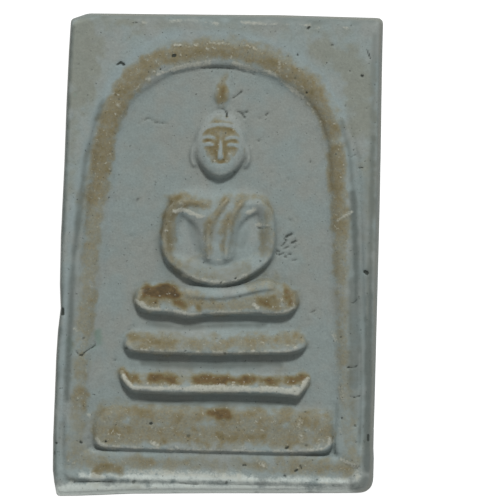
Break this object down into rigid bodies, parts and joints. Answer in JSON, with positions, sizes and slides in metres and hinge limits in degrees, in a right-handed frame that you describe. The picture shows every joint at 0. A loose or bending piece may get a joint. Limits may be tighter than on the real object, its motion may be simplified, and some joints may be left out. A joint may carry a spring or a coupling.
{
  "type": "votive tablet amulet with a seated figure",
  "caption": "Flat rectangular plaster votive tablet: a seated figure on a tiered throne under an arched rib, in low relief. Bare, with no loop or casing.",
  "frame": {"origin": "centre of the tablet's box, on the plane of its back", "axes": "+Z out of the decorated face, +Y towards the figure's head, +X to the viewer's right"},
  "size_m": [0.0242, 0.0366, 0.005],
  "materials": {
    "plaster": "matt, aged lime plaster with ochre stain on the raised bands and pale worn crests"
  },
  "bodies": {
    "root": {"tablet": "plaster"}
  },
  "joints": []
}
